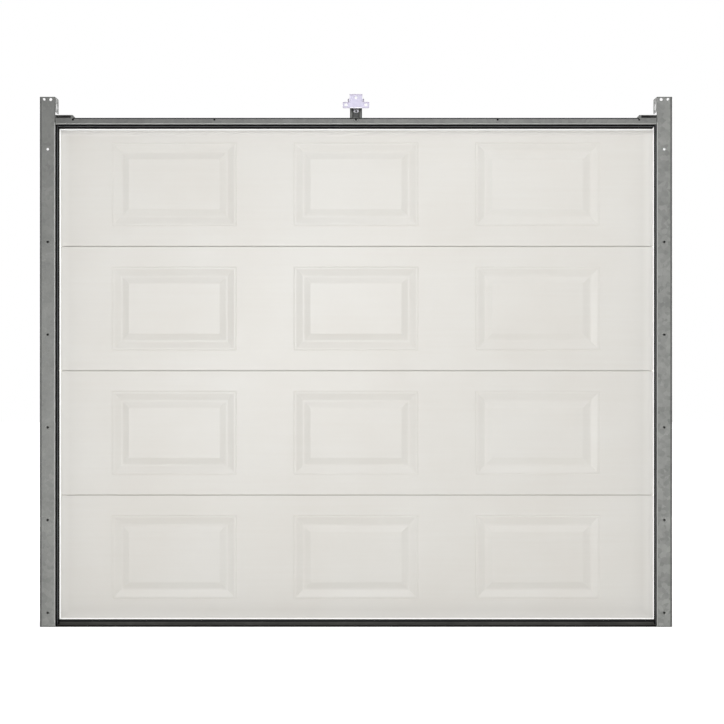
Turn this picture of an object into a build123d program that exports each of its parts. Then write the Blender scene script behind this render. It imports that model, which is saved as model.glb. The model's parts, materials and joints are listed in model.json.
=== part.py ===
"""Sectional overhead garage door for a 2400 x 2000 mm opening, closed, seen from the street.

X runs along the door to the right, Y runs into the garage and Z runs up. The wall plane, which the
front faces of the frame are bolted against, is Y = 0. Everything is drawn in heights above the floor
and is lowered when it is saved, so that the origin lies on the front face of the header.
Lengths are in millimetres.
"""

import os

from build123d import *

# Frame
CLEAR_WIDTH = 2400
JAMB_WIDTH = 62
JAMB_HEIGHT = 2115
JAMB_DEPTH = 150
RETURN_DEPTH = 45
TOP_FLANGE_DEPTH = 90
TOP_FLANGE_FOOT = 2057
TOP_FLANGE_NOTCH = 2043
SHEET = 2
BEND_RADIUS = 4
HEADER_FOOT = 2005
HEADER_TOP = 2031
GUSSET_TOP = 2043
ORIGIN_HEIGHT = 2012

# Fixing holes of the frame
JAMB_HOLE_RADIUS = 5
JAMB_HOLE_FIRST = 56
JAMB_HOLE_PITCH = 370
JAMB_HOLE_COUNT = 6
TOP_HOLE_RADIUS = 6
TOP_HOLE_HEIGHT = 2104.5
TOP_HOLE_INSETS = (17, 44)
SHAFT_HOLE_RADIUS = 17
SHAFT_HOLE_DEPTH = 50
SHAFT_HOLE_HEIGHT = 2081
HEADER_HOLE_RADIUS = 4
HEADER_HOLE_PITCH = 565
HEADER_HOLE_HEIGHT = 2024

# Plate over the middle of the header
PLATE_FOOT = 2070
PLATE_TOP = 2126
PLATE_SHEET = 3
PLATE_HOLE_RADIUS = 5.5
PLATE_SLOT_REACH = 40
PLATE_REACH = 42

# Leaf
SECTION_COUNT = 4
SECTION_PITCH = 500
LEAF_FOOT = 22
LEAF_WIDTH = 2430
LEAF_FRONT = 60
LEAF_THICKNESS = 40
JOINT_GAP = 2
TONGUE_HEIGHT = 9
GROOVE_DEPTH = 12
RIB_DEPTH = 1.5
EDGE_BEVEL = 1.5
END_CAP_SHEET = 1.5
END_CAP_REACH = 66
BULB_HEIGHT = 14
FLAP_FRONT = 1
FLAP_HEIGHT = 5
SEAL_BODY = 6
SEAL_LIP = 8
RIGHT_SEAL_LIP = 2.2
TOP_SEAL_LIP = 10.8
TOP_SEAL_LEG = 31
TOP_SEAL_LEG_REACH = 1168

# Pressed cassettes, three to a section
CASSETTE_COUNT = 3
CASSETTE_PITCH = 731
CASSETTE_WIDTH = 502
CASSETTE_HEIGHT = 338
CASSETTE_MARGIN = 11
LINE_WIDTH = 5
LINE_DEPTH = 1.2
BEVEL_WIDTH = 25
VALLEY_WIDTH = 7
PRESSING_DEPTH = 6

# Running gear
TRACK_DEPTH = 48
TRACK_WIDTH = 24
TRACK_SHEET = 2
TRACK_LIP = 7
TRACK_BEVEL = 3
ROLLER_LINE = 122
TRACK_FOOT = 20
CURVE_RADIUS = 381
LOWER_TRACK_HEIGHT = 1990
UPPER_TRACK_START = 96
TRACK_END = 2440
HANGER_TOP = 2287
HANGER_HOLE_REACH = 1242
SPACER = 3
WHEEL_RADIUS = 21.5
WHEEL_WIDTH = 16
AXLE_RADIUS = 5.5
AXLE_BORE = AXLE_RADIUS + 0.2
AXLE_LENGTH = 110
TUBE_RADIUS = 8
LUG_SHEET = 3
BOTTOM_ROLLER_HEIGHT = 78
TOP_ROLLER_LINE = 130

# Worked out from the dimensions above
HALF_CLEAR = CLEAR_WIDTH / 2
HALF_WIDTH = HALF_CLEAR + JAMB_WIDTH
HALF_LEAF = LEAF_WIDTH / 2
LEAF_BACK = LEAF_FRONT + LEAF_THICKNESS
LEAF_TOP = LEAF_FOOT + SECTION_PITCH * SECTION_COUNT
CAP_BACK = LEAF_BACK + END_CAP_SHEET
CAP_SIDE = HALF_LEAF + SHEET
SIDE_PLATE = (HALF_LEAF - 60, HALF_LEAF - 4)
TRACK_OUTER = HALF_WIDTH - SHEET - SPACER
TRACK_INNER = TRACK_OUTER - TRACK_WIDTH
WHEEL_PLACE = (TRACK_OUTER - TRACK_SHEET - 2 - WHEEL_WIDTH, TRACK_OUTER - TRACK_SHEET - 2)
UPPER_TRACK_HEIGHT = LOWER_TRACK_HEIGHT + TRACK_DEPTH
UPPER_TRACK_TOP = UPPER_TRACK_HEIGHT + TRACK_DEPTH / 2
CURVE_START = LOWER_TRACK_HEIGHT - CURVE_RADIUS
CURVE_CENTRE = ROLLER_LINE + CURVE_RADIUS
JOINT_HEIGHTS = [LEAF_FOOT + SECTION_PITCH * k for k in range(1, SECTION_COUNT)]

os.makedirs("parts", exist_ok=True)


def save(node, *solids):
    """Write the solids of one node, with the origin moved to the header."""
    lowered = [Pos(0, 0, -ORIGIN_HEIGHT) * solid for solid in solids]
    export_step(lowered[0] if len(lowered) == 1 else Compound(children=lowered), f"parts/{node}.step")


def save_pair(node, *solids):
    """Write a right-hand piece and its mirror image on the left."""
    save(node + "_right", *solids)
    save(node + "_left", *[mirror(solid, about=Plane.YZ) for solid in solids])


def block(x, y, z):
    """A box given by its lowest and highest X, Y and Z."""
    box = Box(x[1] - x[0], y[1] - y[0], z[1] - z[0], align=(Align.MIN,) * 3)
    return Pos(x[0], y[0], z[0]) * box


def folded(points, thickness, radius, side=Side.LEFT):
    """Section of a folded sheet whose one skin runs through the points."""
    skin = FilletPolyline(*points, radius=radius)
    return make_face(offset(skin, amount=thickness, side=side))


def drill(x, z, radius, depth, start=0):
    """A round hole along Y."""
    hole = Cylinder(radius, depth + 2, rotation=(90, 0, 0))
    return Pos(x, start + depth / 2, z) * hole


def along_x(section, start, stop):
    """Extrude a section drawn in Y and Z from one X to another."""
    return Pos(start, 0, 0) * extrude(Plane.YZ * section, amount=stop - start, dir=(1, 0, 0))


def upright(section, start, stop):
    """Extrude a section drawn in X and Y from one height to another."""
    return Pos(0, 0, start) * extrude(section, amount=stop - start, dir=(0, 0, 1))


def inward(section, start, stop):
    """Extrude an outline drawn in X and Z from one depth to another."""
    return Pos(0, start, 0) * extrude(Plane.XZ * section, amount=stop - start, dir=(0, 1, 0))


def rod(radius, start, stop, y, z):
    """A round bar along X."""
    return Pos(0, y, z) * along_x(Circle(radius), start, stop)


def bar(radius, start, stop, y, z):
    """A thin bar or its bore along X, with twelve sides, which keeps the many small ones light."""
    return Pos(0, y, z) * along_x(RegularPolygon(radius, 12), start, stop)


def jamb():
    """Folded upright: inner return, front flange with the fixing holes, and outer web."""
    skin = [
        (HALF_CLEAR, TOP_FLANGE_DEPTH),
        (HALF_CLEAR, 0),
        (HALF_WIDTH, 0),
        (HALF_WIDTH, JAMB_DEPTH),
    ]
    post = upright(folded(skin, SHEET, BEND_RADIUS), 0, JAMB_HEIGHT)
    inner = (HALF_CLEAR - 1, HALF_CLEAR + SHEET + 1)
    post -= block(inner, (RETURN_DEPTH, TOP_FLANGE_DEPTH + 1), (-1, TOP_FLANGE_FOOT))
    post -= block(inner, (BEND_RADIUS, TOP_FLANGE_DEPTH + 1), (TOP_FLANGE_NOTCH, TOP_FLANGE_FOOT))
    for k in range(JAMB_HOLE_COUNT):
        height = JAMB_HOLE_FIRST + JAMB_HOLE_PITCH * k
        post -= drill(HALF_CLEAR + 30, height, JAMB_HOLE_RADIUS, SHEET)
    for inset in TOP_HOLE_INSETS:
        post -= drill(HALF_WIDTH - inset, TOP_HOLE_HEIGHT, TOP_HOLE_RADIUS, SHEET)
    bore = (HALF_CLEAR - 2, HALF_CLEAR + SHEET + 2)
    return post - rod(SHAFT_HOLE_RADIUS, *bore, SHAFT_HOLE_DEPTH, SHAFT_HOLE_HEIGHT)


def header_rail():
    """Folded rail between the jambs, with the five fixing holes."""
    skin = [
        (RETURN_DEPTH, HEADER_FOOT),
        (0, HEADER_FOOT),
        (0, HEADER_TOP),
    ]
    reach = HALF_CLEAR - 1
    rail = along_x(folded(skin, SHEET, BEND_RADIUS, Side.RIGHT), -reach, reach)
    for k in range(-2, 3):
        rail -= drill(HEADER_HOLE_PITCH * k, HEADER_HOLE_HEIGHT, HEADER_HOLE_RADIUS, SHEET)
    return rail


def corner_gusset():
    """Corner brace: a tab behind the header, a slanted web, an ear on the jamb and a top plate."""
    top, foot = GUSSET_TOP, GUSSET_TOP - 31
    tab_end = HEADER_HOLE_PITCH * 2 - 9
    tab_bend = tab_end + 17
    deep = 72
    ear = HALF_CLEAR - SHEET
    skin = [(tab_end, SHEET), (tab_bend, SHEET), (ear, deep), (ear, 8)]
    web = upright(folded(skin, SHEET, 2.5), foot, top)
    cover = Polygon((tab_bend - 4, SHEET), (HALF_CLEAR, SHEET), (HALF_CLEAR, deep - 4),
                    (tab_bend, SHEET + 2), align=None)
    brace = web + upright(cover, top - SHEET, top)
    brace -= block((tab_bend, HALF_CLEAR + 1), (LEAF_FRONT - 8, deep + 1), (foot - 1, LEAF_TOP + 4))
    corner = Polygon((tab_end - 1, top + 1), (tab_end + 11, top + 1), (tab_end - 1, top - 11), align=None)
    brace -= inward(corner, 0, 20)
    return brace - drill(HEADER_HOLE_PITCH * 2, HEADER_HOLE_HEIGHT, HEADER_HOLE_RADIUS, 4)


def header_bracket():
    """Hat-shaped bracket that stands on the header and carries the middle plate."""
    half, recess, deep = 24, 13, 20
    skin = [(-half, SHEET), (-recess, SHEET), (-recess, deep), (recess, deep), (recess, SHEET), (half, SHEET)]
    channel = upright(folded(skin, SHEET, 1.5), HEADER_TOP, PLATE_FOOT)
    foot = block((-half, half), (SHEET, 2 * SHEET), (HEADER_FOOT + BEND_RADIUS, HEADER_TOP))
    shelf = block((-recess, recess), (SHEET, deep + SHEET), (HEADER_TOP, HEADER_TOP + SHEET))
    window = inward(Pos(0, PLATE_FOOT - 9) * SlotOverall(22, 12), deep - 2, deep + 6)
    bracket = channel + foot + shelf - window
    return bracket - drill(0, HEADER_HOLE_HEIGHT, HEADER_HOLE_RADIUS, 4)


def header_plate():
    """Plated T-shaped fixing plate: two ears, bent-back tabs, and a shelf whose rear edge turns down."""
    ear_top = PLATE_FOOT + 25
    waist = PLATE_TOP - 14
    ears = Pos(0, (PLATE_FOOT + ear_top) / 2) * RectangleRounded(106, ear_top - PLATE_FOOT, 3)
    neck = Polygon((-25.5, ear_top - 1), (25.5, ear_top - 1), (24.5, waist), (26, PLATE_TOP),
                   (-26, PLATE_TOP), (-24.5, waist), align=None)
    plate = inward(ears + neck, 0, PLATE_SHEET)
    plate -= drill(0, waist, PLATE_HOLE_RADIUS, PLATE_SHEET)
    for side in (-1, 1):
        slot = Pos(side * PLATE_SLOT_REACH, PLATE_FOOT + 13) * SlotOverall(14, 2 * PLATE_HOLE_RADIUS)
        plate -= inward(slot, 0, PLATE_SHEET)
        tab = Polygon((side * 24, 0), (side * 24, PLATE_SHEET), (side * 30, 16), (side * 33, 15),
                      (side * 27, 0), align=None)
        plate += upright(tab, ear_top + 2, ear_top + 13)
    plate += block((-23, 23), (0, PLATE_REACH), (PLATE_FOOT, PLATE_FOOT + PLATE_SHEET))
    return plate + block((-18, 18), (PLATE_REACH - PLATE_SHEET, PLATE_REACH), (PLATE_FOOT - 20, PLATE_FOOT))


def seal_section(lip):
    """Seal in section: a clip on the edge of a return, and a lip that wipes the leaf."""
    body = min(SEAL_BODY, lip)
    return Polygon(
        (0, 5), (2 - body, 5), (-body, 9), (-body, 40), (-lip, LEAF_FRONT),
        (3 - lip, LEAF_FRONT), (3 - body, RETURN_DEPTH + 4), (5, RETURN_DEPTH + 4),
        (5, RETURN_DEPTH - 8), (SHEET, RETURN_DEPTH - 8), (SHEET, RETURN_DEPTH), (0, RETURN_DEPTH),
        align=None,
    )


def side_seal(lip):
    """Black seal along the right-hand return, from the flap on the floor up to the header."""
    return Pos(HALF_CLEAR, 0, 0) * upright(seal_section(lip), FLAP_HEIGHT + 1, HEADER_FOOT)


def top_seal():
    """The same seal under the header, with a leg that stands behind the rail."""
    turned = Plane(origin=(0, 0, HEADER_FOOT), x_dir=(0, 0, 1), z_dir=(-1, 0, 0))
    seal = extrude(turned * seal_section(TOP_SEAL_LIP), amount=HALF_CLEAR - SEAL_LIP, both=True)
    leg = (HEADER_FOOT, HEADER_FOOT + TOP_SEAL_LEG)
    return seal + block((-TOP_SEAL_LEG_REACH, TOP_SEAL_LEG_REACH), (RETURN_DEPTH + 1, RETURN_DEPTH + 4), leg)


def frustum(size, inset, depth):
    """Tapered block that goes inward from the face and narrows by the inset on each side."""
    first = Rectangle(*size)
    last = Plane.XY.offset(-depth) * Rectangle(size[0] - 2 * inset, size[1] - 2 * inset)
    return loft([first, last], ruled=True)


def groove(size, slope, flat, depth):
    """Frame-shaped groove: a slope down, a flat bottom and a slope up to the field inside."""
    inside = 2 * (slope + flat)
    island = frustum((size[0] - inside, size[1] - inside), slope, depth)
    return frustum(size, slope, depth) - Pos(0, 0, -depth) * mirror(island, about=Plane.XY)


def cassette():
    """Tool that presses one cassette: a fine outline, then a V moulding round a raised field."""
    size = (CASSETTE_WIDTH - 2 * CASSETTE_MARGIN, CASSETTE_HEIGHT - 2 * CASSETTE_MARGIN)
    moulding = groove(size, BEVEL_WIDTH, VALLEY_WIDTH, PRESSING_DEPTH)
    return moulding + groove((CASSETTE_WIDTH, CASSETTE_HEIGHT), LINE_WIDTH / 2, 0.1, LINE_DEPTH)


def section(index, tool):
    """One leaf section with finger-safe edges and its row of cassettes."""
    front, back = LEAF_FRONT, LEAF_BACK
    low, high = JOINT_GAP / 2 if index > 0 else -JOINT_GAP / 2, SECTION_PITCH - JOINT_GAP / 2
    edge = EDGE_BEVEL
    tongue = [(front + 11, high), (front + 13, high + TONGUE_HEIGHT), (front + 27, high + TONGUE_HEIGHT),
              (front + 29, high)]
    hollow = [(front + 31, low), (front + 29, GROOVE_DEPTH), (front + 11, GROOVE_DEPTH), (front + 9, low)]
    ribs = []
    for height in (375, 250, 125):
        ribs += [(back, height + 4), (back - RIB_DEPTH, height), (back, height - 4)]
    outline = [(front, low + edge), (front, high - edge), (front + edge, high)]
    outline += tongue if index < SECTION_COUNT - 1 else []
    outline += [(back - edge, high), (back, high - edge), *ribs, (back, low + edge), (back - edge, low)]
    outline += hollow if index > 0 else []
    panel = along_x(Polygon(*outline, (front + edge, low), align=None), -HALF_LEAF, HALF_LEAF)
    face = Plane(origin=(0, front, SECTION_PITCH / 2), x_dir=(1, 0, 0), z_dir=(0, -1, 0))
    for k in range(CASSETTE_COUNT):
        panel -= face.location * Pos(CASSETTE_PITCH * (k - (CASSETTE_COUNT - 1) / 2), 0, 0) * tool
    return Pos(0, 0, LEAF_FOOT + SECTION_PITCH * index) * panel


def end_caps():
    """Folded steel caps on the right-hand ends of the sections."""
    skin = Polygon(
        (HALF_LEAF, LEAF_FRONT + 1), (CAP_SIDE, LEAF_FRONT + 1), (CAP_SIDE, CAP_BACK),
        (HALF_LEAF - END_CAP_REACH, CAP_BACK), (HALF_LEAF - END_CAP_REACH, LEAF_BACK),
        (HALF_LEAF, LEAF_BACK), align=None,
    )
    cap = upright(skin, LEAF_FOOT + 3, LEAF_FOOT + SECTION_PITCH - 3)
    return [Pos(0, 0, SECTION_PITCH * k) * cap for k in range(SECTION_COUNT)]


def bottom_rail():
    """Carrier under the lowest section, with a groove for the seal."""
    low, high = BULB_HEIGHT, LEAF_FOOT - JOINT_GAP / 2
    shape = Polygon((LEAF_FRONT, low), (LEAF_BACK, low), (LEAF_BACK, high), (LEAF_FRONT + 1.5, high),
                    (LEAF_FRONT, high - 3), align=None)
    return along_x(shape, -HALF_LEAF, HALF_LEAF)


def bottom_seal():
    """Soft hollow bulb that meets the floor, with a flap that lies on the floor in front of the leaf."""
    outer = chamfer(Rectangle(LEAF_THICKNESS, BULB_HEIGHT).vertices(), 4)
    hollow = chamfer(Rectangle(LEAF_THICKNESS - 8, BULB_HEIGHT - 7).vertices(), 2)
    centre = Pos((LEAF_FRONT + LEAF_BACK) / 2, BULB_HEIGHT / 2)
    bulb = along_x(centre * (outer - hollow), -HALF_LEAF, HALF_LEAF)
    front, rear = FLAP_FRONT, LEAF_FRONT + 3
    flap = Polygon((front, 0), (front, 3), (rear, FLAP_HEIGHT), (rear, 0), align=None)
    return bulb + along_x(flap, 1 - HALF_CLEAR, HALF_CLEAR - 1)


def lug(back, line, height, reach, foot_middle, foot_width):
    """Outline of an upright lug, from its foot on a plate to the pin that it holds."""
    foot = Pos(back + 1.5, foot_middle) * Rectangle(3, foot_width)
    return make_hull((Pos(line, height) * RegularPolygon(reach, 8)).edges() + foot.edges())


def side_hinge(height):
    """Side hinge: two plates joined by two lugs that hold the tube of the roller axle."""
    inner, outer = SIDE_PLATE
    hinge = bar(TUBE_RADIUS, inner, outer, ROLLER_LINE, height)
    for side in (-1, 1):
        middle = height + side * 36
        hinge += block(SIDE_PLATE, (CAP_BACK, CAP_BACK + 2.5), (middle - 28, middle + 28))
    ear = lug(CAP_BACK, ROLLER_LINE, height, TUBE_RADIUS + 2, height, 80)
    hinge += along_x(ear, inner + LUG_SHEET, inner + 2 * LUG_SHEET)
    hinge += along_x(ear, outer - 2 * LUG_SHEET, outer - LUG_SHEET)
    return hinge - bar(AXLE_BORE, inner - 1, outer + 1, ROLLER_LINE, height)


def bottom_bracket():
    """Corner bracket at the foot of the leaf, with the lowest roller tube."""
    inner, outer = SIDE_PLATE
    bracket = block(SIDE_PLATE, (CAP_BACK, CAP_BACK + 2.5), (LEAF_FOOT + 7, LEAF_FOOT + 125))
    bracket += bar(TUBE_RADIUS, inner, outer, ROLLER_LINE, BOTTOM_ROLLER_HEIGHT)
    ear = lug(CAP_BACK, ROLLER_LINE, BOTTOM_ROLLER_HEIGHT, TUBE_RADIUS + 2, BOTTOM_ROLLER_HEIGHT + 12, 80)
    bracket += along_x(ear, inner, inner + LUG_SHEET) + along_x(ear, outer - LUG_SHEET, outer)
    return bracket - bar(AXLE_BORE, inner - 1, outer + 1, ROLLER_LINE, BOTTOM_ROLLER_HEIGHT)


def top_bracket():
    """Low-headroom arm that carries the top roller up to the upper track."""
    arm_in, arm_out = CAP_SIDE + 4, CAP_SIDE + 8
    low, high = LEAF_TOP - 85, LEAF_TOP - 5
    base = block((SIDE_PLATE[0], arm_out), (CAP_BACK, CAP_BACK + 3), (low, high))
    arm = lug(CAP_BACK, TOP_ROLLER_LINE, UPPER_TRACK_HEIGHT, 12, (low + high) / 2, high - low)
    bracket = base + along_x(arm, arm_in, arm_out)
    return bracket - bar(AXLE_BORE, arm_in - 1, arm_out + 1, TOP_ROLLER_LINE, UPPER_TRACK_HEIGHT)


def middle_hinge(x, height):
    """Hinge between two sections, with its lugs on a short pin."""
    half = 30
    pin_line = LEAF_BACK + 10
    hinge = Pos(0, pin_line, height) * along_x(RegularPolygon(5, 8), x - half, x + half)
    for side in (-1, 1):
        middle = height + side * 34
        hinge += block((x - half, x + half), (LEAF_BACK, LEAF_BACK + 2.5), (middle - 26, middle + 26))
    ear = lug(LEAF_BACK, pin_line, height, 6.5, height, 70)
    for place in (x - half + LUG_SHEET, x + half - 2 * LUG_SHEET):
        hinge += along_x(ear, place, place + LUG_SHEET)
    return hinge


def roller_places():
    """Y and Z of every roller of one side."""
    places = [(ROLLER_LINE, BOTTOM_ROLLER_HEIGHT)]
    places += [(ROLLER_LINE, height) for height in JOINT_HEIGHTS]
    return places + [(TOP_ROLLER_LINE, UPPER_TRACK_HEIGHT)]


def roller(y, z):
    """Nylon wheel."""
    inner, outer = WHEEL_PLACE
    return rod(WHEEL_RADIUS, inner, outer, y, z) - bar(AXLE_BORE, inner - 1, outer + 1, y, z)


def axle(y, z):
    """Steel axle of one roller; the top one is a short stub."""
    start = CAP_SIDE + 2 if z == UPPER_TRACK_HEIGHT else WHEEL_PLACE[1] - AXLE_LENGTH
    return bar(AXLE_RADIUS, start, WHEEL_PLACE[1], y, z)


def track_section():
    """Rolled C of the tracks: the web outside, bevelled bends, and lips that hold the rollers."""
    half = TRACK_DEPTH / 2
    skin = Polyline(
        (TRACK_INNER, -half + TRACK_LIP),
        (TRACK_INNER, -half),
        (TRACK_OUTER - TRACK_BEVEL, -half),
        (TRACK_OUTER, -half + TRACK_BEVEL),
        (TRACK_OUTER, half - TRACK_BEVEL),
        (TRACK_OUTER - TRACK_BEVEL, half),
        (TRACK_INNER, half),
        (TRACK_INNER, half - TRACK_LIP),
    )
    return make_face(offset(skin, amount=TRACK_SHEET, side=Side.LEFT))


def horizontal_track(height, start):
    """Straight track over the head of the garage."""
    plane = Plane(origin=(0, start, height), x_dir=(1, 0, 0), z_dir=(0, 1, 0))
    return extrude(plane * track_section(), amount=TRACK_END - start)


def vertical_track():
    """Straight track beside the leaf."""
    plane = Plane(origin=(0, ROLLER_LINE, TRACK_FOOT))
    return extrude(plane * track_section(), amount=CURVE_START - TRACK_FOOT)


def curved_track():
    """Quarter bend that carries the rollers from the upright to the horizontal track."""
    plane = Plane(origin=(0, ROLLER_LINE, CURVE_START))
    turning = Axis((0, CURVE_CENTRE, CURVE_START), (-1, 0, 0))
    return revolve(plane * track_section(), axis=turning, revolution_arc=90)


def track_spacers():
    """Straps between the jamb's web and the track; the highest also joins the track to the bend."""
    face = (TRACK_OUTER, TRACK_OUTER + SPACER)
    depth = (ROLLER_LINE - 18, ROLLER_LINE + 18)
    straps = [block(face, depth, (height - 30, height + 30)) for height in (200, 760, 1320)]
    return straps + [block(face, depth, (CURVE_START - 70, CURVE_START + 40))]


def track_angle():
    """Angle that ties both horizontal tracks to the jamb."""
    face = (TRACK_OUTER, TRACK_OUTER + SPACER)
    rear = 700
    lid = (UPPER_TRACK_TOP, UPPER_TRACK_TOP + SPACER)
    side = Polygon(
        (UPPER_TRACK_START, LOWER_TRACK_HEIGHT - 15), (JAMB_DEPTH + 10, LOWER_TRACK_HEIGHT - 15),
        (JAMB_DEPTH + 40, LOWER_TRACK_HEIGHT + 20), (CURVE_CENTRE - 30, LOWER_TRACK_HEIGHT + 20),
        (CURVE_CENTRE, LOWER_TRACK_HEIGHT - 15), (rear, LOWER_TRACK_HEIGHT - 15),
        (rear, lid[1]), (UPPER_TRACK_START, lid[1]), align=None,
    )
    return along_x(side, *face) + block((TRACK_OUTER - 20, face[1]), (JAMB_DEPTH + 10, rear), lid)


def rear_cross_bar():
    """Channel that holds the rear ends of the tracks apart."""
    foot, front, rear = UPPER_TRACK_TOP, TRACK_END - 50, TRACK_END - 10
    skin = [(front, foot + 28), (front, foot), (rear, foot), (rear, foot + 28)]
    return along_x(folded(skin, SHEET, 3), SHEET - HALF_WIDTH, HALF_WIDTH - SHEET)


def rear_hanger():
    """Angle from the rear cross bar up to the ceiling, with its fixing hole at the head."""
    front = TRACK_END - 10
    outer = HALF_WIDTH - 4
    skin = [(outer - 30, front), (outer, front), (outer, front + 30)]
    hanger = upright(folded(skin, SHEET, 3), UPPER_TRACK_TOP, HANGER_TOP)
    return hanger - drill(HANGER_HOLE_REACH, HANGER_TOP - 15, HEADER_HOLE_RADIUS, SHEET, front)


save_pair("jamb", jamb())
save("header_rail", header_rail())
save_pair("corner_gusset", corner_gusset())
save("header_bracket", header_bracket())
save("header_plate", header_plate())
save("side_seal_right", side_seal(RIGHT_SEAL_LIP))
save("side_seal_left", mirror(side_seal(SEAL_LIP), about=Plane.YZ))
save("top_seal", top_seal())
pressing = cassette()
for number in range(SECTION_COUNT):
    save(f"section_{number + 1}", section(number, pressing))
save_pair("end_caps", *end_caps())
save("bottom_rail", bottom_rail())
save("bottom_seal", bottom_seal())
save("middle_hinges", *[middle_hinge(x, height) for height in JOINT_HEIGHTS for x in (-405, 405)])
save_pair("side_hinges", *[side_hinge(height) for height in JOINT_HEIGHTS])
save_pair("bottom_bracket", bottom_bracket())
save_pair("top_bracket", top_bracket())
save_pair("rollers", *[roller(y, z) for y, z in roller_places()])
save_pair("roller_axles", *[axle(y, z) for y, z in roller_places()])
save_pair("vertical_track", vertical_track())
save_pair("curved_track", curved_track())
save_pair("lower_horizontal_track", horizontal_track(LOWER_TRACK_HEIGHT, CURVE_CENTRE))
save_pair("upper_horizontal_track", horizontal_track(UPPER_TRACK_HEIGHT, UPPER_TRACK_START))
save_pair("track_spacers", *track_spacers())
save_pair("track_angle", track_angle())
save("rear_cross_bar", rear_cross_bar())
save_pair("rear_hanger", rear_hanger())
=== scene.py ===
# %% [markdown]
# # A sectional garage door
# The door hangs in a frame of folded galvanised steel: two uprights, a header rail, and tracks that
# run back under the ceiling. Its leaf is four hinged sections with pressed cassettes. The solid
# model brings every large piece in its place. This lesson adds the view, the light, the finishes and
# the small parts that a fitter would touch: wheels, screws, bolts and rivets.

import json
import math

import bmesh
import bpy
from mathutils import Matrix, Vector


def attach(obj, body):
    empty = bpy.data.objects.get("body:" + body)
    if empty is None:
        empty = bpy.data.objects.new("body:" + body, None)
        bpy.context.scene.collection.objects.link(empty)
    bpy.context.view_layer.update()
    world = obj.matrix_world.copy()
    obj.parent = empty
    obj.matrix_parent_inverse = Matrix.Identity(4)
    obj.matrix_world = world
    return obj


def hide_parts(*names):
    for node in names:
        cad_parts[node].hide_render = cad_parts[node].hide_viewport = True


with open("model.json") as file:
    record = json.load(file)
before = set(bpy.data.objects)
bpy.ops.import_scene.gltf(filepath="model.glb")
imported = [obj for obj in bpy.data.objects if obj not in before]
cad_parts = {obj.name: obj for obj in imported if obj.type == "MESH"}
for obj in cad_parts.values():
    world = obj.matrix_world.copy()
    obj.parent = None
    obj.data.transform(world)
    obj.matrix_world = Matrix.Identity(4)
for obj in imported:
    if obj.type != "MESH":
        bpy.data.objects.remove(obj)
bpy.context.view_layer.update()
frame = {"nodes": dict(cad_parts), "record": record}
nodes = frame["nodes"]

# %% [markdown]
# ## The view
# The picture was taken straight on, from about 7.7 m, with the lens roughly a metre above the floor.
# Looking along the Y axis without any tilt keeps the uprights parallel, as a shift lens does. The door
# isn't quite in the middle of the picture, so a small shift moves it instead of a turn, which would
# make the lines converge.

# %% Camera
PICTURE = 724
MM_PER_PIXEL = 3.99
DISTANCE = 7.7
FLOOR = -2.012
EYE = FLOOR + 1.025
SENSOR = 36
SHIFT_RIGHT = 6
SHIFT_UP = 8

bpy.ops.object.camera_add(location=(0, -DISTANCE, EYE), rotation=(math.pi / 2, 0, 0))
camera = bpy.context.active_object
camera.name = "view"
camera.data.sensor_width = SENSOR
camera.data.lens = SENSOR * DISTANCE * 1000 / (PICTURE * MM_PER_PIXEL)
camera.data.shift_x = SHIFT_RIGHT / PICTURE
camera.data.shift_y = SHIFT_UP / PICTURE
camera.data.clip_end = 100
bpy.context.scene.camera = camera
print("lens", round(camera.data.lens, 1), "mm")

# %% [markdown]
# ## Light
# The door stands in a white studio. The surround is white to the eye of the camera and much dimmer as a
# lamp, because light from all around leaves a dark border where the deep frame hides half of it. Most of
# the light comes from soft lamps in front: two high ones that make the upper sections brighter, and two
# low ones that mirror in the satin paint as a sheen. A faint sun draws the slopes of the cassettes. The
# lamps at the sides and behind the door stand farther back than its front, so they leave that as it is.

# %% Surround
AMBIENT = 0.175

scene = bpy.context.scene
scene.view_settings.view_transform = "Standard"
scene.world = bpy.data.worlds.new("studio")
scene.world.use_nodes = True
surround = scene.world.node_tree
background = surround.nodes["Background"]
background.inputs["Color"].default_value = (1, 1, 1, 1)
ray = surround.nodes.new("ShaderNodeLightPath")
level = surround.nodes.new("ShaderNodeMapRange")
level.inputs["To Min"].default_value = AMBIENT
level.inputs["To Max"].default_value = 1
surround.links.new(ray.outputs["Is Camera Ray"], level.inputs["Value"])
surround.links.new(level.outputs["Result"], background.inputs["Strength"])
print("surround", AMBIENT)

# %% Faint sun
SUN_TILT = 70
SUN_TURN = -8
SUN_SPREAD = 24
SUN_STRENGTH = 0.46

bpy.ops.object.light_add(type="SUN", rotation=(math.radians(SUN_TILT), 0, math.radians(SUN_TURN)))
sun = bpy.context.active_object
sun.name = "sun"
sun.data.angle = math.radians(SUN_SPREAD)
sun.data.energy = SUN_STRENGTH
print("sun", SUN_STRENGTH)


# %% Softboxes
AIM_HEIGHT = -0.8


def softbox(name, x, height, width, tall, radiance, y=-DISTANCE - 0.1, target_y=0.0):
    """A rectangular lamp at a height above the floor, facing the door, given by how bright it looks."""
    bpy.ops.object.light_add(type="AREA", location=(x, y, FLOOR + height))
    soft = bpy.context.active_object
    soft.name = name
    soft.data.shape = "RECTANGLE"
    soft.data.size = width
    soft.data.size_y = tall
    soft.data.energy = radiance * math.pi * width * tall
    aim = Vector((0, target_y, AIM_HEIGHT)) - soft.location
    soft.rotation_euler = aim.to_track_quat("-Z", "Y").to_euler()
    return soft


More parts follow.
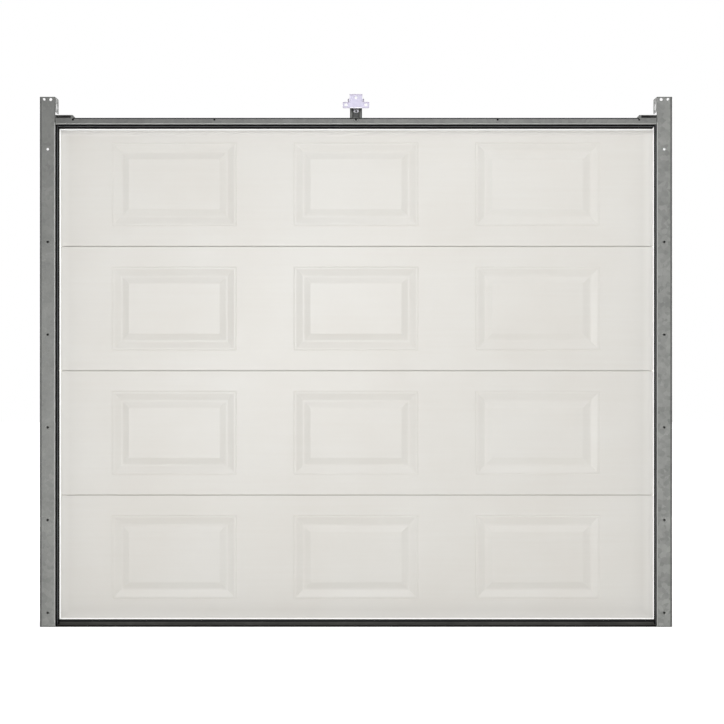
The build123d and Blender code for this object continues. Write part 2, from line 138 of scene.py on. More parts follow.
softbox("sheen", -0.05, 1.52, 0.9, 0.8, 30.6)
softbox("low left", -1.25, 1.0, 2.0, 1.6, 10.7)
softbox("high far", 0.9, 3.9, 2.6, 1.4, 4.7)
softbox("high near", 1.0, 3.5, 2.6, 0.8, 3.9, y=-2.8)
softbox("rear left", -2.5, 3.4, 2.5, 1.5, 9.0, y=6.5, target_y=0.8)
softbox("rear right", 2.5, 2.6, 2.5, 1.5, 7.0, y=6.5, target_y=0.8)
softbox("side left", -6, 2.4, 2.0, 2.0, 8.0, y=1.4, target_y=1.0)
softbox("side right", 6, 2.4, 2.0, 2.0, 8.0, y=1.4, target_y=1.0)
print("eight softboxes")

# %% [markdown]
# ## Shader sums
# A finish is a small tree of nodes. Written as sums in Python it stays readable: the class below
# wraps one socket, and each operator adds the Math node that does the sum. Everything that isn't a
# plain sum comes from the one method that adds a node.


# %% Sockets that can be added and multiplied
class Wire:
    """One output of a node; sums on it add Math nodes."""

    def __init__(self, finish, socket):
        self.finish = finish
        self.socket = socket

    def maths(self, operation, first, second):
        return self.finish.node("ShaderNodeMath", {"operation": operation}, {0: first, 1: second})

    def __add__(self, other):
        return self.maths("ADD", self, other)

    def __radd__(self, other):
        return self.maths("ADD", other, self)

    def __sub__(self, other):
        return self.maths("SUBTRACT", self, other)

    def __rsub__(self, other):
        return self.maths("SUBTRACT", other, self)

    def __mul__(self, other):
        return self.maths("MULTIPLY", self, other)

    def __gt__(self, other):
        return self.maths("GREATER_THAN", self, other)

    def __lt__(self, other):
        return self.maths("LESS_THAN", self, other)

    def __abs__(self):
        return self.maths("ABSOLUTE", self, 0)

    def largest(self, other):
        return self.maths("MAXIMUM", self, other)


class Finish:
    """A material with one Principled shader, built from nodes on Object coordinates."""

    def __init__(self, name, **constants):
        self.material = bpy.data.materials.new(name)
        self.material.use_nodes = True
        self.tree = self.material.node_tree
        self.shader = self.tree.nodes["Principled BSDF"]
        for socket, value in constants.items():
            self.shader.inputs[socket.replace("_", " ")].default_value = value
        self.place = self.node("ShaderNodeTexCoord", out="Object")

    def node(self, kind, settings=None, sockets=None, out=0):
        """Add a node: its settings first, then the values or wires of its sockets."""
        added = self.tree.nodes.new(kind)
        for setting, value in (settings or {}).items():
            if setting == "stops":
                self.stops(added.color_ramp, value)
            else:
                setattr(added, setting, value)
        for socket, value in (sockets or {}).items():
            if isinstance(value, Wire):
                self.tree.links.new(value.socket, added.inputs[socket])
            else:
                added.inputs[socket].default_value = value
        return Wire(self, added.outputs[out])

    def stops(self, ramp, stops):
        """Give a ramp its stops, each a place and a grey or a colour."""
        while len(ramp.elements) < len(stops):
            ramp.elements.new(1)
        for element, (place, value) in zip(ramp.elements, stops):
            element.position = place
            element.color = value if isinstance(value, tuple) else (value, value, value, 1)

    def axes(self):
        """X, Y and Z of the place, each as a wire."""
        return [self.node("ShaderNodeSeparateXYZ", {}, {0: self.place}, out=axis) for axis in "XYZ"]

    def scaled(self, x, y, z):
        """Object coordinates multiplied along each axis."""
        return self.node("ShaderNodeMapping", {}, {"Vector": self.place, "Scale": (x, y, z)})

    def noise(self, scale, detail=2, roughness=0.5, vector=None):
        """Soft cloudy noise, about 0.5 on average; scale is in waves to the metre."""
        sockets = {"Vector": vector or self.place, "Scale": scale, "Detail": detail, "Roughness": roughness}
        return self.node("ShaderNodeTexNoise", {}, sockets)

    def ramp(self, value, *stops):
        """Remap a value through a ramp."""
        return self.node("ShaderNodeValToRGB", {"stops": stops}, {"Fac": value})

    def mix(self, mask, first, second):
        """First colour where the mask is 0, second where it is 1."""
        return self.node("ShaderNodeMix", {"data_type": "RGBA"}, {0: mask, 6: first, 7: second}, out=2)

    def bump(self, height, distance, strength=1.0, below=None):
        """A bump in metres, laid over another one."""
        sockets = {"Height": height, "Distance": distance, "Strength": strength}
        if below:
            sockets["Normal"] = below
        return self.node("ShaderNodeBump", {}, sockets)

    def feed(self, **wires):
        """Wire what varies to the shader."""
        for socket, wire in wires.items():
            self.tree.links.new(wire.socket, self.shader.inputs[socket.replace("_", " ")])
        return self


def rgb(red, green, blue):
    """Screen colour, 0 to 255, as the linear colour that a shader takes."""
    return tuple(((c / 255 + 0.055) / 1.055) ** 2.4 if c > 10 else c / 255 / 12.92
                 for c in (red, green, blue)) + (1,)


print("shader helpers ready")

# %% [markdown]
# ## Leaf paint
# The sections are coil-coated steel, a warm white with a satin gloss. The front is embossed with a
# faint level wood grain, the back with small dimples. Both are a fraction of a millimetre deep, so
# they are a bump: noise pulled out along X for the grain, and small cells for the dimples.

# %% Leaf paint
INSIDE_SKIN = 0.0985
BORDER_START = 1.15
FOOT_START = -1.95
HEAD_START = -0.050
SEAL_LEFT = -1.1868
SEAL_RIGHT = 1.1942
SEAL_HEAD = -0.0230
SEAL_FOOT = -1.9845
FOOT_BEVEL = -1.9888
BORDER_FADE = 24
HEAD_FADE = 36
GRAIN_DEPTH = 0.0005

leaf = Finish("leaf paint", Roughness=0.3, Specular_IOR_Level=0.2, Emission_Strength=1.0)
x, y, z = leaf.axes()
inside = y > INSIDE_SKIN
wander = leaf.noise(3, detail=2)
grain = leaf.noise(1, detail=5, roughness=0.62, vector=leaf.scaled(7, 7, 210))
streak = leaf.noise(1, detail=3, roughness=0.55, vector=leaf.scaled(2.2, 2.2, 70))
dimples = leaf.node("ShaderNodeTexVoronoi", {"feature": "SMOOTH_F1"}, {"Vector": leaf.place, "Scale": 130})
outside = 1 - inside
relief = leaf.bump((grain * 0.6 + streak * 0.4) * outside + dimples * inside, GRAIN_DEPTH, 0.35)
cloud = leaf.ramp(wander * 0.7 + streak * 0.3, (0.35, 0.0), (0.65, 1.0))
tone = leaf.mix(cloud, rgb(226, 223, 217), rgb(229, 227, 222))
tone = leaf.mix(inside * 0.7, tone, rgb(250, 249, 246))
# Painted light: the front is painted lighter within about 4 cm of the sides and the foot, against the shade
# of the deep frame.
painted_border_light = ((abs(x) - BORDER_START) * BORDER_FADE).largest((FOOT_START - z) * BORDER_FADE)
tone = leaf.mix(painted_border_light * outside, tone, rgb(243, 241, 236))
# Painted light: the top few centimetres of the front are painted lighter still, against the shade of the
# header.
tone = leaf.mix((z - HEAD_START) * HEAD_FADE * outside, tone, rgb(255, 253, 249))
# Painted highlight: a thin strip of the front along the seals is painted white and glows by itself through
# the emission colour.
painted_rim_highlight = ((x < SEAL_LEFT) + (x > SEAL_RIGHT) + (z > SEAL_HEAD) + (z < SEAL_FOOT)) * outside
tone = leaf.mix(painted_rim_highlight, tone, rgb(255, 255, 253))
glint = leaf.mix(painted_rim_highlight, rgb(0, 0, 0), rgb(178, 178, 175))
# Painted shade: the lowest couple of millimetres of the front, its bottom edge, are painted near black and
# don't glow.
painted_foot_shade = (z < FOOT_BEVEL) * outside
tone = leaf.mix(painted_foot_shade, tone, rgb(20, 20, 21))
glint = leaf.mix(painted_foot_shade, glint, rgb(0, 0, 0))
leaf.feed(Base_Color=tone, Roughness=0.26 + grain * 0.08, Normal=relief, Emission_Color=glint)
print("leaf paint with grain and dimples")

# %% [markdown]
# ## Galvanised steel
# Hot-dip zinc freezes into flat crystals, the spangle, a centimetre or so across, each a slightly
# different grey. A cell pattern gives one random grey to each crystal, noise bends its borders, and a
# slower noise adds the cloudy weathering of stored steel.

# %% Galvanised steel
SKIN = 0.001
BEND = 0.012
JAMB_BEND = (1.1996, 1.2036)
RAIL_BEND = (-0.0072, -0.0028)
RAIL_TOP = (0.0148, 0.0195)
RAIL_FOOT = -0.008
RAIL_HALF = 1.196
RAIL_BEND_HALF = 1.2
GUSSET_END = 1.13
OUTER_EDGE = 1.2545
HEAD_EDGE = 0.1000
FOOT_EDGE = -2.0088
RING = (0.0090, 0.0108)
RING_HEIGHT = 0.012

zinc = Finish("galvanised steel", Metallic=0.55, Roughness=0.5)
drift = zinc.node("ShaderNodeTexNoise", {}, {"Vector": zinc.place, "Scale": 70, "Detail": 2}, out="Color")
shifted = zinc.node("ShaderNodeVectorMath", {"operation": "MULTIPLY_ADD"},
                    {0: drift, 1: (0.012, 0.012, 0.012), 2: zinc.place})
crystals = zinc.node("ShaderNodeTexVoronoi", {"feature": "F1"}, {"Vector": shifted, "Scale": 62}, out="Color")
crystal = zinc.node("ShaderNodeSeparateColor", {}, {0: crystals}, out="Red")
cloud = zinc.noise(9, detail=4, roughness=0.6)
speck = zinc.noise(420, detail=2)
shade = zinc.ramp(crystal * 0.3 + cloud * 0.6 + speck * 0.1, (0.3, 0.0), (0.7, 1.0))
tone = zinc.mix(shade, rgb(112, 113, 111), rgb(140, 141, 138))
side, y, z = zinc.axes()
x = abs(side)
front = y < BEND
rail = (z > RAIL_FOOT) * (x < RAIL_HALF)
# Painted light: on the front faces the zinc is painted darker overall, most on the header and the left, and
# lighter towards the bottom and the right; parts more than 6 cm behind the front are painted up to half again
# as bright.
painted_depth_light = zinc.ramp(y * 5, (0.3, 0.0), (0.72, 1.0))
painted_light_scale = (side * 0.10 - z * 0.18 - rail * 0.18 - 0.12) * front + painted_depth_light * 0.5 + 1
tone = zinc.node("ShaderNodeVectorMath", {"operation": "SCALE"}, {0: tone, "Scale": painted_light_scale})
# Painted highlight: the inner bends of the uprights and the lower bend of the header are painted lighter, the
# left upright's most.
jamb_bend = (x > JAMB_BEND[0]) * (x < JAMB_BEND[1]) * (z < 0)
rail_bend = (z < RAIL_BEND[1]) * (z > RAIL_BEND[0]) * (x < RAIL_BEND_HALF)
glow = zinc.mix(side < -JAMB_BEND[0], rgb(170, 171, 169), rgb(192, 193, 191))
tone = zinc.mix((jamb_bend + rail_bend) * front, tone, glow)
# Painted shade: on the very front, the outer edges of the uprights, their tops and their feet are painted
# darker.
face = y < SKIN
painted_edge_shade = ((x > OUTER_EDGE) + (z > HEAD_EDGE) + (z < FOOT_EDGE)) * face
tone = zinc.mix(painted_edge_shade * 0.75, tone, rgb(70, 71, 70))
# Painted shade: a near-black line along the top edge of the header, between the corner gussets.
tone = zinc.mix((z > RAIL_TOP[0]) * (z < RAIL_TOP[1]) * (x < GUSSET_END) * face, tone, rgb(12, 12, 12))
# Painted shade: a darker ring around the hole in the middle of the header.
offset = z - RING_HEIGHT
from_hole = x * x + offset * offset
painted_ring_shade = (from_hole > RING[0] ** 2) * (from_hole < RING[1] ** 2) * front
tone = zinc.mix(painted_ring_shade, tone, rgb(84, 85, 84))
zinc.feed(Base_Color=tone, Roughness=0.44 + crystal * 0.14, Normal=zinc.bump(speck, 0.0002, 0.35))
print("galvanised steel with spangle")

# %% [markdown]
# ## Rubber, nylon and the small metals
# The seals are matt black rubber with a fine skin. The rail under the leaf is black coated, the wheels
# are milky nylon, and the plate, screws and axles are bright zinc or drawn steel with hair-fine lines.

# %% Seals and the rail under the leaf
HIGHLIGHT_BAND = (0.0085, 0.030)
FLOOR_SEAL = -2.0066
FLAP = (0.026, 0.0625)
BULB_FACE = 0.058
BULB = (-2.0074, -1.9975)

rubber = Finish("seal rubber", Roughness=0.8, Specular_IOR_Level=0.12)
skin = rubber.noise(900, detail=3)
dust = rubber.ramp(rubber.noise(6, detail=4, roughness=0.65), (0.3, 0.0), (0.75, 1.0))
y, z = rubber.axes()[1:]
on_floor = z < FLOOR_SEAL
painted_seal_highlight = (y > HIGHLIGHT_BAND[0]) * (y < HIGHLIGHT_BAND[1]) * (1 - on_floor)
bulb = (z > BULB[0]) * (z < BULB[1]) * (y > BULB_FACE) * (y < FLAP[1])
flap = on_floor * (y > FLAP[0]) * (y < FLAP[1])
tone = rubber.mix(dust, rgb(3, 3, 4), rgb(10, 11, 12))
# Painted highlight: the seals are painted grey between 8.5 and 30 mm behind the front, mottled by the dust.
tone = rubber.mix(painted_seal_highlight, tone, rubber.mix(dust, rgb(78, 79, 82), rgb(104, 107, 112)))
# Painted highlight: the front of the bulb under the leaf and the flap on the floor are painted grey, mottled
# by the dust.
tone = rubber.mix(bulb.largest(flap), tone, rubber.mix(dust, rgb(66, 66, 64), rgb(92, 92, 89)))
rubber.feed(Base_Color=tone, Roughness=0.72 + dust * 0.2, Normal=rubber.bump(skin, 0.0002, 0.4))

coated = Finish("black coated rail", Roughness=0.45, Specular_IOR_Level=0.25)
orange_peel = coated.noise(260, detail=2)
wear = coated.ramp(coated.noise(1, detail=4, vector=coated.scaled(9, 60, 60)), (0.6, 0.0), (0.85, 1.0))
coated.feed(Base_Color=coated.mix(wear, rgb(4, 4, 5), rgb(22, 23, 24)),
            Roughness=0.4 + orange_peel * 0.12, Normal=coated.bump(orange_peel, 0.0003, 0.3))
print("rubber and black coating")

# %% Plate and bracket over the header
EAR_END = 0.0495
NECK = 0.027
EAR_HEIGHTS = (0.0612, 0.0772)
PLATE_HEAD = 0.1085
FOLD_HEIGHTS = (0.0572, 0.0605)
FOLD_HALF = 0.023
FOLD_FACE = 0.004
TAB_FACE = 0.030
TAB_TOP = 0.060
BRACKET_SHADE = 0.036
SHADE_FADE = 55
BRACKET_FACE = 0.006
BRACKET_FOLD = (0.0112, 0.0142)
BRACKET_EDGE = 0.0200
BRACKET_RECESS = 0.0125

plated = Finish("pale zinc plating", Metallic=0.1, Roughness=0.4)
patch = plated.noise(45, detail=4, roughness=0.6)
brushed = plated.noise(1, detail=2, vector=plated.scaled(60, 60, 1100))
x, y, z = plated.axes()
x = abs(x)
tone = plated.mix(patch, rgb(194, 189, 210), rgb(209, 206, 227))
# Painted shade: the plate is painted darker at the ends of its ears, along its top, and above and below the
# ears.
border = (x > EAR_END) + (z > PLATE_HEAD) + (x > NECK) * ((z > EAR_HEIGHTS[1]) + (z < EAR_HEIGHTS[0]))
tone = plated.mix(border, tone, rgb(184, 177, 197))
# Painted highlight: the fold along the lower edge of the plate is painted near white. The low part more than
# 3 cm behind the front is painted near white too, against the shade of the bracket.
fold = (z > FOLD_HEIGHTS[0]) * (z < FOLD_HEIGHTS[1]) * (x < FOLD_HALF) * (y < FOLD_FACE)
tab = (y > TAB_FACE) * (z < TAB_TOP)
tone = plated.mix(fold.largest(tab), tone, rgb(250, 249, 255))
plated.feed(Base_Color=tone, Roughness=0.34 + brushed * 0.2, Normal=plated.bump(brushed, 0.0001, 0.3))

dull_zinc = Finish("dull zinc", Metallic=0.4, Roughness=0.55)
patch = dull_zinc.noise(140, detail=4, roughness=0.6)
x, y, z = dull_zinc.axes()
x = abs(x)
shadow = ((z - BRACKET_SHADE) * SHADE_FADE) * (x > BRACKET_RECESS)
folds = (x > BRACKET_FOLD[0]) * (x < BRACKET_FOLD[1])
shadow = shadow.largest(folds * 0.8).largest((x > BRACKET_EDGE) * 0.7)
tone = dull_zinc.mix(patch, rgb(56, 57, 58), rgb(84, 85, 84))
# Painted light: the bracket is painted lighter within 6 mm of its front than on its recessed faces.
tone = dull_zinc.mix(y < BRACKET_FACE, tone, rgb(98, 99, 97))
dull_zinc.feed(Base_Color=dull_zinc.mix(shadow, tone, rgb(10, 10, 12)), Roughness=0.48 + patch * 0.15,
               Normal=dull_zinc.bump(patch, 0.0001, 0.3))
print("pale plating and dull zinc")

# %% Wheels, axles and screws
nylon = Finish("milky nylon", Roughness=0.42, Subsurface_Weight=0.08)
mottle = nylon.noise(80, detail=3)
nylon.feed(Base_Color=nylon.mix(mottle, rgb(222, 220, 209), rgb(233, 231, 222)),
           Roughness=0.36 + mottle * 0.12, Normal=nylon.bump(nylon.noise(700), 0.0001, 0.3))

steel = Finish("drawn steel", Metallic=1.0, Roughness=0.3)
drawn = steel.noise(1, detail=3, vector=steel.scaled(30, 1500, 1500))
steel.feed(Base_Color=steel.mix(drawn, rgb(168, 168, 170), rgb(204, 204, 206)),
           Roughness=0.22 + drawn * 0.2, Normal=steel.bump(drawn, 0.0001, 0.3))

screw_zinc = Finish("screw zinc", Metallic=0.9, Roughness=0.35)
bloom = screw_zinc.noise(260, detail=3)
screw_zinc.feed(Base_Color=screw_zinc.mix(bloom, rgb(170, 171, 176), rgb(205, 206, 212)),
                Roughness=0.26 + bloom * 0.22, Normal=screw_zinc.bump(bloom, 0.0001, 0.3))

dark_steel = Finish("phosphated steel", Metallic=0.6, Roughness=0.5)
smoke = dark_steel.noise(120, detail=3)
dark_steel.feed(Base_Color=dark_steel.mix(smoke, rgb(84, 84, 88), rgb(112, 112, 116)),
                Roughness=0.42 + smoke * 0.2, Normal=dark_steel.bump(smoke, 0.0001, 0.3))
print("nylon, drawn steel, screw zinc and phosphated steel")

# %% Give each solid piece its finish
SLOTS = {
    "galvanised": zinc,
    "zinc_plate": plated,
    "leaf_white": leaf,
    "rail_black": coated,
    "seal_black": rubber,
    "nylon": nylon,
    "axle_steel": steel,
}
for part in frame["record"]["subparts"]:
    finish = dull_zinc if part["node"] == "header_bracket" else SLOTS[part["material_slot"]]
    mesh = nodes[part["node"]].data
    mesh.materials.clear()
    mesh.materials.append(finish.material)

# %% [markdown]
# ## How the small pieces are modelled
# Every small piece starts as a primitive at its real size and is shaped in edit mode, as by hand. Faces
# are picked by where they lie or which way they look, so that the steps can be read and repeated. A
# piece that comes many times is modelled once, looking along one axis, and then copied to each place.


# %% Modelling helpers
TOUCHING = 0.00001
SQUARE_ON = 0.99
CENTRE = 0.001


def mm(*lengths):
    """Millimetres, with heights above the floor as the third value, as a place in the frame."""
    x, y, height = lengths
    return Vector((x / 1000, y / 1000, height / 1000 + FLOOR))


def begin(name, add, **size):
    """Add one primitive with nothing else selected, give it its name and open it for editing."""
    bpy.ops.object.select_all(action="DESELECT")
    add(**size)
    piece = bpy.context.active_object
    piece.name = name
    piece.data.name = name
    bpy.ops.object.transform_apply(location=True, rotation=True, scale=True)
    bpy.ops.object.mode_set(mode="EDIT")
    return piece


def pick(piece, test):
    """Select the faces whose middle and normal pass the test."""
    bpy.ops.mesh.select_mode(type="FACE")
    bpy.ops.mesh.select_all(action="DESELECT")
    mesh = bmesh.from_edit_mesh(piece.data)
    for face in mesh.faces:
        face.select_set(test(face.calc_center_median(), face.normal))
    bmesh.update_edit_mesh(piece.data)


def pick_edges(piece, test):
    """Select the edges whose two ends, taken together, pass the test."""
    bpy.ops.mesh.select_mode(type="EDGE")
    bpy.ops.mesh.select_all(action="DESELECT")
    mesh = bmesh.from_edit_mesh(piece.data)
    for edge in mesh.edges:
        edge.select_set(test(edge.verts[0].co, edge.verts[1].co))
    bmesh.update_edit_mesh(piece.data)


def terrace(*steps):
    """Inset the picked faces once for each step, a width and a depth."""
    for width, depth in steps:
        bpy.ops.mesh.inset(thickness=width, depth=depth)


def close(piece, angle=35):
    """Leave edit mode, with doubles merged, faces outward and smooth shading up to an angle."""
    bpy.ops.mesh.select_all(action="SELECT")
    bpy.ops.mesh.remove_doubles(threshold=TOUCHING)
    bpy.ops.mesh.normals_make_consistent(inside=False)
    bpy.ops.object.mode_set(mode="OBJECT")
    bpy.ops.object.select_all(action="DESELECT")
    piece.select_set(True)
    bpy.context.view_layer.objects.active = piece
    bpy.ops.object.shade_smooth_by_angle(angle=math.radians(angle))
    return piece


def spread(pattern, name, places, finish):
    """Copy a pattern to each place, turned as the place says, and join the copies into one piece."""
    copies = []
    for place, turn in places:
        copy = pattern.copy()
        copy.data = pattern.data.copy()
        copy.data.transform(Matrix.Translation(place) @ turn)
        bpy.context.collection.objects.link(copy)
        copies.append(copy)
    bpy.ops.object.select_all(action="DESELECT")
    for copy in copies:
        copy.select_set(True)
    bpy.context.view_layer.objects.active = copies[0]
    if len(copies) > 1:
        bpy.ops.object.join()
    piece = bpy.context.active_object
    piece.name = name
    piece.data.name = name
    piece.data.materials.clear()
    piece.data.materials.append(finish.material)
    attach(piece, "root")
    return piece


def drop(pattern):
    """Remove a pattern once its copies are in place."""
    bpy.data.meshes.remove(pattern.data)


TO_BACK = Matrix.Identity(4)
TO_FRONT = Matrix.Rotation(math.pi, 4, "Z")
TO_RIGHT = Matrix.Rotation(-math.pi / 2, 4, "Z")
TO_LEFT = Matrix.Rotation(math.pi / 2, 4, "Z")
TO_TOP = Matrix.Rotation(math.pi / 2, 4, "X")
ALONG_Y = (-math.pi / 2, 0, 0)
print("helpers ready")

# %% [markdown]
# ## Hexagon screws
# Sheet screws hold the hinges and brackets to the sections: a hexagon head of 8 mm across flats on a
# round flange. The head starts as a six-sided cylinder whose foot is grown into the flange, and the
# corners at the top are bevelled, which is what makes a screw head look turned and not cut from card.

# %% Model one hexagon screw
HEX_RADIUS = 0.0047
HEX_HEIGHT = 0.0045
HEX_BEVEL = 0.0007
FLANGE_RADIUS = 0.0072
FLANGE_HEIGHT = 0.0013
FLANGE_STEP = (0.0009, 0.0004)
DIMPLE = (0.0018, -0.0004)

hex_screw = begin("hex_screw", bpy.ops.mesh.primitive_cylinder_add, vertices=24, radius=FLANGE_RADIUS,
                  depth=FLANGE_HEIGHT, location=(0, FLANGE_HEIGHT / 2, 0), rotation=ALONG_Y)
pick(hex_screw, lambda place, normal: normal.y > SQUARE_ON)
terrace(FLANGE_STEP)
close(hex_screw)
head = begin("hex_head", bpy.ops.mesh.primitive_cylinder_add, vertices=6, radius=HEX_RADIUS,
             depth=HEX_HEIGHT, location=(0, HEX_HEIGHT / 2 + FLANGE_STEP[1], 0), rotation=ALONG_Y)
pick_edges(head, lambda first, second: min(first.y, second.y) > HEX_HEIGHT)
bpy.ops.mesh.bevel(offset=HEX_BEVEL, segments=2)
pick(head, lambda place, normal: normal.y > SQUARE_ON and place.xz.length < CENTRE)
terrace(DIMPLE)
close(head, 25)
hex_screw.select_set(True)
bpy.context.view_layer.objects.active = hex_screw
bpy.ops.object.join()
print(len(hex_screw.data.polygons), "faces in one screw")

# %% Screws of the hinges and brackets
JOINTS = (522, 1022, 1522)
MIDDLE_HINGES = (-405, 405)
MIDDLE_BACK = 102.5
MIDDLE_COLUMNS = (-14, 14)
MIDDLE_ROWS = (-46, 46)
SIDE_BACK = 104
SIDE_COLUMNS = (1172, 1194)
SIDE_ROWS = (-52, 52)
FOOT_HEIGHTS = (42, 114, 136)
TOP_BACK = 104.5
TOP_COLUMNS = (1170, 1198)
TOP_HEIGHTS = (1952, 2002)
SIDES = ((-1, "left"), (1, "right"))

middle = [(mm(x + beside, MIDDLE_BACK, joint + up), TO_BACK)
          for joint in JOINTS for x in MIDDLE_HINGES for beside in MIDDLE_COLUMNS for up in MIDDLE_ROWS]
spread(hex_screw, "screws_middle_hinges", middle, screw_zinc)
for side, name in SIDES:
    screws = [(mm(side * x, SIDE_BACK, joint + up), TO_BACK)
              for joint in JOINTS for x in SIDE_COLUMNS for up in SIDE_ROWS]
    screws += [(mm(side * x, SIDE_BACK, height), TO_BACK) for x in SIDE_COLUMNS for height in FOOT_HEIGHTS]
    screws += [(mm(side * x, TOP_BACK, height), TO_BACK) for x in TOP_COLUMNS for height in TOP_HEIGHTS]
    spread(hex_screw, "screws_" + name, screws, screw_zinc)
print("screws in place")

# %% [markdown]
# ## Rivets, dome bolts and hexagon nuts
# The end caps are riveted to the sections. The tracks are held by bolts with a flat dome inside the
# track, so low that the wheels run past them. Both are a round cap whose rim is pulled down: a short
# cylinder, its top inset and raised twice. A nut is a hexagon with bevelled corners, with the end of its bolt
# standing out of it.


# %% Model the domes
RIVET = (0.0045, 0.0018)
TRACK_BOLT = (0.0075, 0.0018)


def dome(name, radius, height):
    """A low round head on the plane Y = 0, looking along Y."""
    piece = begin(name, bpy.ops.mesh.primitive_cylinder_add, vertices=20, radius=radius,
                  depth=height * 0.3, location=(0, height * 0.15, 0), rotation=ALONG_Y)
    pick(piece, lambda place, normal: normal.y > SQUARE_ON)
    terrace((radius * 0.18, height * 0.35), (radius * 0.3, height * 0.25), (radius * 0.3, height * 0.1))
    return close(piece, 60)


rivet = dome("rivet", *RIVET)
track_bolt = dome("track_bolt", *TRACK_BOLT)
print(len(rivet.data.polygons), "faces in a rivet")

# %% Model the nut with its bolt end
NUT_RADIUS = 0.0075
NUT_HEIGHT = 0.0055
NUT_BEVEL = 0.0009
BOLT_RADIUS = 0.004
BOLT_REACH = 0.009
BOLT_TIP = (0.0008, 0.0007)

nut = begin("nut", bpy.ops.mesh.primitive_cylinder_add, vertices=6, radius=NUT_RADIUS, depth=NUT_HEIGHT,
            location=(0, NUT_HEIGHT / 2, 0), rotation=ALONG_Y)
pick_edges(nut, lambda first, second: min(first.y, second.y) > NUT_HEIGHT * 0.9)
bpy.ops.mesh.bevel(offset=NUT_BEVEL, segments=2)
close(nut, 25)
end = begin("bolt_end", bpy.ops.mesh.primitive_cylinder_add, vertices=16, radius=BOLT_RADIUS,
            depth=BOLT_REACH, location=(0, BOLT_REACH / 2, 0), rotation=ALONG_Y)
pick(end, lambda place, normal: normal.y > SQUARE_ON)
terrace(BOLT_TIP)
close(end)
nut.select_set(True)
bpy.context.view_layer.objects.active = nut
bpy.ops.object.join()
print(len(nut.data.polygons), "faces in a nut with its bolt end")

# %% Put rivets, bolts and nuts in place
CAP_FACE = 101.5
CAP_MIDDLES = (272, 772, 1272, 1772)
CAP_COLUMNS = (1163, 1203)
RIVET_ROWS = (-120, 0, 120)
WEB_INSIDE = 1255
TRACK_LINE = 122
LOWER_TRACK = 1990
UPPER_TRACK = 2038
UPPER_TRACK_TOP = 2062
UPRIGHT_BOLTS = (200, 760, 1320, 1556, 1592)
CEILING_BOLTS = ((540, LOWER_TRACK), (670, LOWER_TRACK),
                 (180, UPPER_TRACK), (420, UPPER_TRACK), (670, UPPER_TRACK))
CROSS_BAR = (2410, UPPER_TRACK_TOP + 2)
CROSS_BAR_COLUMNS = (1238, 1251)
HANGER_COLUMN = 1243
HANGER = (2432, UPPER_TRACK_TOP + 15)

for side, name in SIDES:
    inward = TO_RIGHT if side < 0 else TO_LEFT
    rivets = [(mm(side * x, CAP_FACE, middle + up), TO_BACK)
              for middle in CAP_MIDDLES for x in CAP_COLUMNS for up in RIVET_ROWS]
    spread(rivet, "rivets_" + name, rivets, screw_zinc)
    bolts = [(mm(side * WEB_INSIDE, TRACK_LINE, height), inward) for height in UPRIGHT_BOLTS]
    bolts += [(mm(side * WEB_INSIDE, y, height), inward) for y, height in CEILING_BOLTS]
    spread(track_bolt, "track_bolts_" + name, bolts, screw_zinc)
    nuts = [(mm(side * x, *CROSS_BAR), TO_TOP) for x in CROSS_BAR_COLUMNS]
    nuts += [(mm(side * HANGER_COLUMN, *HANGER), TO_BACK)]
    spread(nut, "hanger_nuts_" + name, nuts, screw_zinc)
print("rivets, bolts and nuts in place")

# %% [markdown]
# ## The nut behind the header bracket
# Through the oval window of the middle bracket one looks at the pale plate behind it, which is held by
# one small dark nut. It's the same nut at three fifths of its size, turned to the street.

# %% Nut in the window
WINDOW_NUT = (0, 39, 2063)
SMALLER = Matrix.Scale(0.6, 4)

spread(nut, "bracket_nut", [(mm(*WINDOW_NUT), TO_FRONT @ SMALLER)], dark_steel)
drop(nut)
drop(track_bolt)
drop(rivet)
drop(hex_screw)
print("nut in the window")

# %% [markdown]
# ## Wheels
# Each wheel is a nylon tyre on a steel ball bearing. A cylinder is the start: its sides are inset to
# leave a tread, then pushed in for the dished web, and pushed out again for the rim of the bearing
# seat. The tread gets round shoulders with a bevel. The bearing is a second piece, of steel, because
# two real pieces with two finishes are easier to finish than one with a painted border.

# %% Model one wheel
WHEEL_RADIUS = 0.0215
WHEEL_WIDTH = 0.016
SHOULDER = 0.003
DISH = ((0.0012, 0), (0.0014, -0.0028), (0.0022, 0), (0.0008, 0.0022), (0.0008, 0))
ALONG_X = (0, math.pi / 2, 0)

tyre = begin("tyre", bpy.ops.mesh.primitive_cylinder_add, vertices=48, radius=WHEEL_RADIUS,
             depth=WHEEL_WIDTH, rotation=ALONG_X)
pick_edges(tyre, lambda first, second: abs(first.x - second.x) < CENTRE)
bpy.ops.mesh.bevel(offset=SHOULDER, segments=4)
pick(tyre, lambda place, normal: abs(normal.x) > SQUARE_ON)
terrace(*DISH)
pick(tyre, lambda place, normal: abs(normal.x) > SQUARE_ON and place.yz.length < CENTRE)
bpy.ops.mesh.bridge_edge_loops()
close(tyre, 40)
bore = min(vert.co.yz.length for vert in tyre.data.vertices)
print("tyre bore", round(bore * 1000, 1), "mm")

# %% Model one ball bearing
BEARING_RADIUS = bore
BEARING_WIDTH = 0.010
BORE_RADIUS = 0.0056
RACES = ((0.0017, 0), (0.0004, -0.0008), (0.0019, 0.0003), (0.0004, 0.0005))
RACES_WIDTH = sum(width for width, depth in RACES)

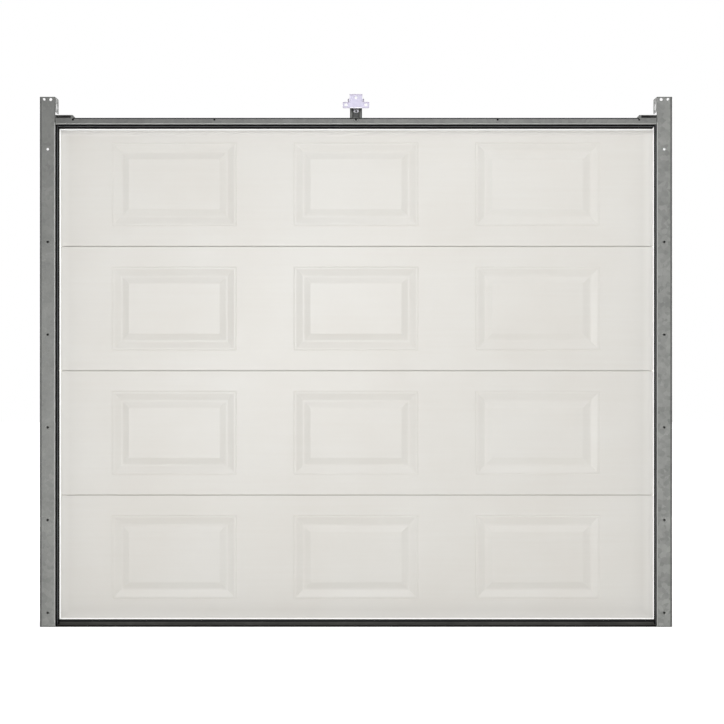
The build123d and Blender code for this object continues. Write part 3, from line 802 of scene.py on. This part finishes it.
bearing = begin("bearing", bpy.ops.mesh.primitive_cylinder_add, vertices=40, radius=BEARING_RADIUS,
                depth=BEARING_WIDTH, rotation=ALONG_X)
pick(bearing, lambda place, normal: abs(normal.x) > SQUARE_ON)
terrace(*RACES, (BEARING_RADIUS - RACES_WIDTH - BORE_RADIUS, 0))
bpy.ops.mesh.bridge_edge_loops()
close(bearing, 30)
print("bearing", round(BEARING_RADIUS * 1000, 1), "mm in radius")

# %% Set the wheels on their axles
WHEEL_MIDDLE = 1245
LOWEST_WHEEL = 78
TOP_WHEEL = (130, UPPER_TRACK)
WHEEL_LINES = (*((TRACK_LINE, height) for height in (LOWEST_WHEEL, *JOINTS)), TOP_WHEEL)

for side, name in SIDES:
    places = [(mm(side * WHEEL_MIDDLE, y, height), TO_BACK) for y, height in WHEEL_LINES]
    tyres = spread(tyre, "wheel_tyres_" + name, places, nylon)
    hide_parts("rollers_" + name)
    spread(bearing, "wheel_bearings_" + name, places, steel)
drop(tyre)
drop(bearing)
print(2 * len(WHEEL_LINES), "wheels")

# %% [markdown]
# ## The floor
# Only a plain floor carries the door. It glows a little near the door, where a soft shadow should
# stay, and more from a few metres away, so that the picture is white around the door.

# %% Floor
FLOOR_SIZE = 60

bpy.ops.object.select_all(action="DESELECT")
bpy.ops.mesh.primitive_plane_add(size=FLOOR_SIZE, location=(0, 0, FLOOR))
floor = bpy.context.active_object
floor.name = "floor"
bpy.ops.object.transform_apply(location=True, rotation=True, scale=True)
ground = Finish("studio floor", Roughness=0.9, Emission_Strength=1.0)
seen = ground.node("ShaderNodeLightPath", out="Is Camera Ray")
away = ground.node("ShaderNodeVectorMath", {"operation": "LENGTH"}, {0: ground.place}, out="Value")
glow = ground.mix(ground.ramp(away * 0.1, (0.35, 0.0), (0.65, 1.0)), rgb(206, 206, 206), rgb(255, 255, 255))
ground.feed(Base_Color=ground.mix(ground.noise(3, detail=3), rgb(238, 238, 236), rgb(244, 244, 243)),
            Emission_Color=ground.mix(seen, rgb(0, 0, 0), glow))
floor.data.materials.append(ground.material)
print("floor at", FLOOR)
